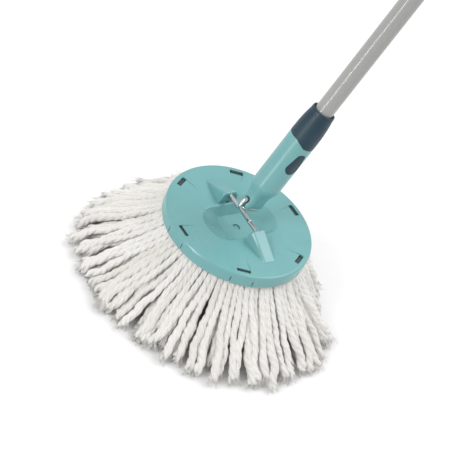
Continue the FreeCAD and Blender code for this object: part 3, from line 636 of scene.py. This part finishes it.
def layYarn(pile, layer, azimuth, chance):
    line, run = yarnLine(layer, azimuth, chance)
    across = np.array([-math.sin(azimuth), math.cos(azimuth), 0])
    along = np.gradient(line, axis=0)
    along /= np.linalg.norm(along, axis=1)[:, None]
    side = across - (along @ across)[:, None] * along
    side /= np.linalg.norm(side, axis=1)[:, None]
    over = np.cross(side, along)
    size = chance.normal(1.0, mopYarn["sizeSpread"])
    swell = 1 + smoothNoise(chance, run, *mopYarn["slubs"])
    slimShare, slimGain, slimStart, slimLength = mopYarn["rootSlim"]
    slim = slimShare + slimGain * np.clip((run - slimStart) / slimLength, 0, 1)
    parting = np.clip((run - (run[-1] - mopYarn["frayLength"])) / mopYarn["frayLength"], 0, 1)
    phase = chance.uniform(0, 2 * math.pi)
    twist = run / (mopYarn["twistPitch"] * chance.normal(1, mopYarn["pitchSpread"])) * 2 * math.pi
    twist = twist + smoothNoise(chance, run, *mopYarn["twistDrift"])
    tint = min(max(chance.normal(*mopYarn["tint"]), 0), 1)
    for ply in range(mopYarn["plies"]):
        angle = twist + phase + ply * 2 * math.pi / mopYarn["plies"]
        flare = chance.uniform(*mopYarn["fraySpread"])
        spread = mopYarn["plyOffset"] * size * slim * (1 + parting ** 2 * flare)
        centres = line + spread[:, None] * (np.cos(angle)[:, None] * side + np.sin(angle)[:, None] * over)
        radii = mopYarn["plyRadius"] * size * slim * swell * (1 - mopYarn["frayThin"] * parting)
        radii = radii * (1 + smoothNoise(chance, run, *mopYarn["plySlubs"]))
        cut = len(run) - int(chance.integers(0, mopYarn["cutRings"]))
        centres, radii = centres[:cut], radii[:cut].copy()
        radii[-2:] *= np.array(mopYarn["tipTaper"])
        centres[:, 2] = np.maximum(centres[:, 2], floorHeight + radii)
        pile.lay(sweepTube(centres, radii, across, mopYarn["sides"]), tint)
    for fibre in range(mopYarn["tuft"]["fibres"]):
        layFibre(pile, line, side, over, along, tint, chance)


def layFibre(pile, line, side, over, along, tint, chance):
    # One loose fibre that fans out of the cut end. It starts four rings back, inside the yarn.
    tuft = mopYarn["tuft"]
    angle = chance.uniform(0, 2 * math.pi)
    away = math.cos(angle) * side[-1] + math.sin(angle) * over[-1]
    steps = np.linspace(0, 1, tuft["rings"])[:, None]
    length = tuft["length"] * chance.uniform(*tuft["lengths"])
    flare = chance.uniform(*tuft["flare"])
    start = line[-5] + away * chance.uniform(*tuft["start"])
    droop = np.array([0, 0, -tuft["droop"] * length])
    fan = away * flare * length * steps ** tuft["curl"]
    centres = start + along[-1] * length * steps + fan + droop * steps ** 2
    radii = tuft["radius"] * chance.uniform(*tuft["radii"]) * (1 - tuft["taper"] * steps[:, 0])
    centres[:, 2] = np.maximum(centres[:, 2], floorHeight + radii)
    pile.lay(sweepTube(centres, radii, side[-1] + tuft["skew"], tuft["sides"]), tint)


def makeYarnLayers(setup):
    for number, (name, layer) in enumerate(setup["layers"].items()):
        chance = np.random.default_rng(setup["seed"] + number)
        pile = YarnPile()
        for k in range(layer["count"]):
            nudge = chance.normal(0, setup["azimuthSpread"])
            azimuth = (k + 0.5 * (number % 2) + nudge) * 2 * math.pi / layer["count"]
            layYarn(pile, layer, azimuth, chance)
        piece = pile.build(name)
        piece.data.materials.append(cotton)
        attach(piece, "mop_refill")
        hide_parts(layer["node"])
        print(name, layer["count"], "yarns,", len(piece.data.polygons), "faces")


makeYarnLayers(mopYarn)

for subpart in frame["record"]["subparts"]:
    node = frame["nodes"][subpart["node"]]
    finish = slotMaterials[subpart["material_slot"]]
    if not node.material_slots:
        node.data.materials.append(finish)
    for holder in node.material_slots:
        holder.material = finish
print("finishes on", len(frame["nodes"]), "parts")

studioFloor = {"size": 7.0, "colour": (0.93, 0.93, 0.93), "tooth": 300.0}


def makeFloor(setup):
    half = setup["size"] / 2
    x, y = plateCentre.x, plateCentre.y
    mesh = bpy.data.meshes.new("studioFloor")
    corners = [(x - half, y - half), (x + half, y - half), (x + half, y + half), (x - half, y + half)]
    mesh.from_pydata([(px, py, floorHeight) for px, py in corners], [], [(0, 1, 2, 3)])
    floor = bpy.data.objects.new("studioFloor", mesh)
    bpy.context.scene.collection.objects.link(floor)
    material, wiring, shader = newMaterial("paperFloor", {"Roughness": 0.9, "Specular IOR Level": 0.1})
    place = wiring.add("ShaderNodeTexCoord").outputs["Object"]
    tone = wiring.spread(wiring.noise(place, setup["tooth"], 2.0, 0.5), 0.3, 0.7)
    wiring.join(wiring.mixColour(tone, setup["colour"], tuple(0.985 * c for c in setup["colour"])),
                shader.inputs["Base Color"])
    clear = wiring.add("ShaderNodeBsdfTransparent")
    mix = wiring.add("ShaderNodeMixShader")
    under = wiring.add("ShaderNodeNewGeometry")
    wiring.join(under.outputs["Backfacing"], mix.inputs["Fac"])
    wiring.join(shader.outputs["BSDF"], mix.inputs[1])
    wiring.join(clear.outputs["BSDF"], mix.inputs[2])
    output = material.node_tree.nodes["Material Output"]
    wiring.join(mix.outputs["Shader"], output.inputs["Surface"])
    mesh.materials.append(material)


makeFloor(studioFloor)
print("floor laid")
